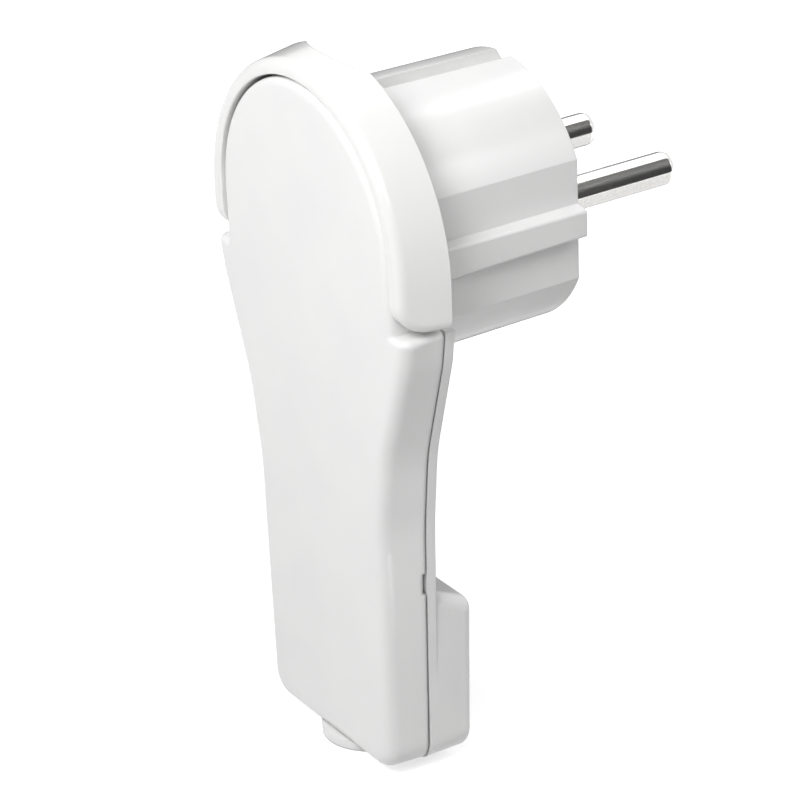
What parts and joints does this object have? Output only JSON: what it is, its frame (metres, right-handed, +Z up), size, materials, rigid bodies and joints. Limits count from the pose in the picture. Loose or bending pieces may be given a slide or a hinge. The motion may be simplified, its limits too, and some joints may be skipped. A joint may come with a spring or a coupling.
{
  "type": "angled plug",
  "caption": "White angled earthed mains plug with a flat waisted grip hanging below its round head, a swing-out pull bail, side earth channels and a cable inlet at the foot.",
  "frame": {"origin": "midway between the two contact pins, on the plug body's engagement face", "axes": "+X across the two pins, +Y into the socket along the pins, +Z up from the grip to the head"},
  "size_m": [0.052, 0.0551, 0.1048],
  "materials": {
    "white_plastic": "satin",
    "nickel_plated_brass": "polished nickel plate",
    "brass": "turned",
    "plated_steel": "bright zinc",
    "white_soft_plastic": "matt"
  },
  "bodies": {
    "plug": {"cover": "white_plastic", "plug_base": "white_plastic", "contact_pin_left": "nickel_plated_brass", "contact_pin_right": "nickel_plated_brass", "terminal_screw_left": "plated_steel", "terminal_screw_right": "plated_steel", "earth_strap": "nickel_plated_brass", "earth_clamp": "plated_steel", "earth_terminal_screw": "plated_steel", "pin_retainer": "white_plastic", "retainer_screw_lower": "plated_steel", "retainer_screw_upper": "plated_steel", "main_screw": "plated_steel", "main_insert": "brass", "lower_screw": "plated_steel", "lower_insert": "brass", "cord_clamp_bar": "white_plastic", "cord_clamp_screw_left": "plated_steel", "cord_clamp_screw_right": "plated_steel", "cable_grommet": "white_soft_plastic"},
    "bail": {"bail": "white_plastic"}
  },
  "joints": [
    {"name": "bail_hinge", "type": "hinge", "parent": "plug", "child": "bail", "pos_m": [0, -0.0316, -0.0019], "axis": [1, 0, 0], "range_deg": [0, 90]}
  ]
}
